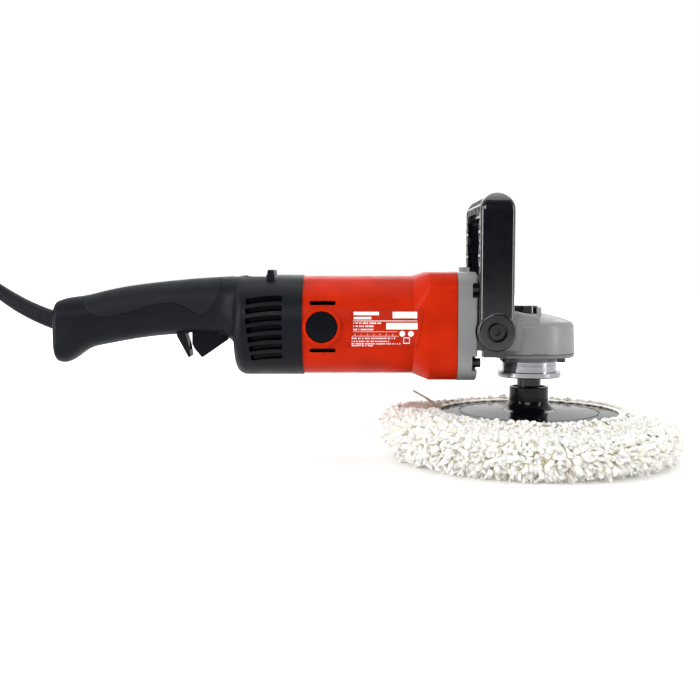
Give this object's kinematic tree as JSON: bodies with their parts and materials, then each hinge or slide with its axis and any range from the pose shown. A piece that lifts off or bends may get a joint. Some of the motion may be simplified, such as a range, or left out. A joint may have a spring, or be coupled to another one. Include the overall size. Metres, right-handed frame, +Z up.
{
  "type": "rotary polisher",
  "caption": "Corded rotary polisher with a straight rear handle, right-angle gear head, D-shaped side handle and a backing plate wearing a lambswool bonnet.",
  "frame": {"origin": "on the spindle axis at the bonnet's flat working face", "axes": "+X from the rear handle along the motor to the gear head, +Z up along the spindle away from the work, +Y to the tool's left"},
  "size_m": [0.7424, 0.2668, 0.231],
  "materials": {
    "handle_plastic": "satin",
    "soft_grip": "matte",
    "black_plastic": "gloss",
    "red_plastic": "satin",
    "label": "satin",
    "grey_paint": "satin",
    "aluminium": "turned",
    "steel": "ground",
    "black_steel": "satin",
    "spring_steel": "satin",
    "bronze": "satin",
    "brass": "satin",
    "copper": "enamelled",
    "carbon": "matte",
    "laminated_steel": "matte",
    "circuit_board": "satin",
    "nylon": "matte",
    "cord_rubber": "matte",
    "wool": "fleece",
    "lace": "matte",
    "gloss_pad": "gloss"
  },
  "bodies": {
    "tool": {"handle_shell_right": "handle_plastic", "handle_shell_left": "handle_plastic", "soft_grip_right": "soft_grip", "soft_grip_left": "soft_grip", "handle_screws": "black_steel", "trigger_pin": "steel", "trigger_spring": "spring_steel", "switch_body": "nylon", "speed_controller": "circuit_board", "suppressor_capacitor": "nylon", "strain_relief": "cord_rubber", "cord_clamp": "nylon", "clamp_screws": "steel", "motor_housing": "red_plastic", "rating_label": "label", "brush_caps": "black_plastic", "brush_holders": "brass", "carbon_brushes": "carbon", "brush_springs": "spring_steel", "stator_core": "laminated_steel", "field_coils": "copper", "air_baffle": "nylon", "intake_guard": "nylon", "rear_bearing": "steel", "front_bearing": "steel", "gear_housing": "grey_paint", "flange_screws": "black_steel", "gear_cover": "grey_paint", "cover_screws": "black_steel", "bearing_collar": "aluminium", "spindle_bush": "bronze", "spindle_bearing": "steel", "lock_spring": "spring_steel", "d_handle": "black_plastic", "handle_washers": "black_steel", "handle_bolts": "black_steel", "mains_cord": "cord_rubber", "plug_lead": "cord_rubber", "cord_coil": "cord_rubber", "plug_body": "cord_rubber", "plug_pins": "brass"},
    "spindle_group": {"spindle": "steel", "gear_spacer": "steel", "bevel_gear": "steel", "backing_plate": "gloss_pad", "plate_nut": "steel", "bonnet": "wool", "bonnet_lace": "lace"},
    "armature": {"armature_shaft": "steel", "armature_core": "laminated_steel", "armature_windings": "copper", "commutator": "copper", "cooling_fan": "nylon", "bevel_pinion": "steel", "pinion_nut": "steel"},
    "trigger_lever": {"trigger": "black_plastic"},
    "lock_on": {"lock_on_button": "black_plastic"},
    "dial": {"speed_dial": "black_plastic"},
    "spindle_lock": {"lock_button": "black_plastic"}
  },
  "joints": [
    {"name": "spindle_spin", "type": "hinge", "parent": "tool", "child": "spindle_group", "pos_m": [0, 0, 0.1], "axis": [0, 0, 1], "continuous": true},
    {"name": "armature_spin", "type": "hinge", "parent": "tool", "child": "armature", "pos_m": [-0.139, 0, 0.118], "axis": [1, 0, 0], "continuous": true},
    {"name": "trigger_pull", "type": "hinge", "parent": "tool", "child": "trigger_lever", "pos_m": [-0.271, 0, 0.113], "axis": [0, 1, 0], "range_deg": [0, 6], "stiffness_Nm_per_rad": 1, "springref_deg": -2.86, "deforming": ["trigger_spring"]},
    {"name": "lock_on_press", "type": "slide", "parent": "tool", "child": "lock_on", "axis": [0, -1, 0], "range_m": [0, 0.0022], "stiffness_N_per_m": 600, "springref_m": -0.001},
    {"name": "speed_dial_turn", "type": "hinge", "parent": "tool", "child": "dial", "pos_m": [-0.2515, 0, 0.1506], "axis": [0, 1, 0], "range_deg": [0, 270]},
    {"name": "spindle_lock_press", "type": "slide", "parent": "tool", "child": "spindle_lock", "axis": [0, 0, -1], "range_m": [0, 0.0016], "stiffness_N_per_m": 1500, "springref_m": -0.001, "deforming": ["lock_spring"]}
  ],
  "couplings": [
    {"joint": "armature_spin", "follows": "spindle_spin", "ratio": -4}
  ]
}
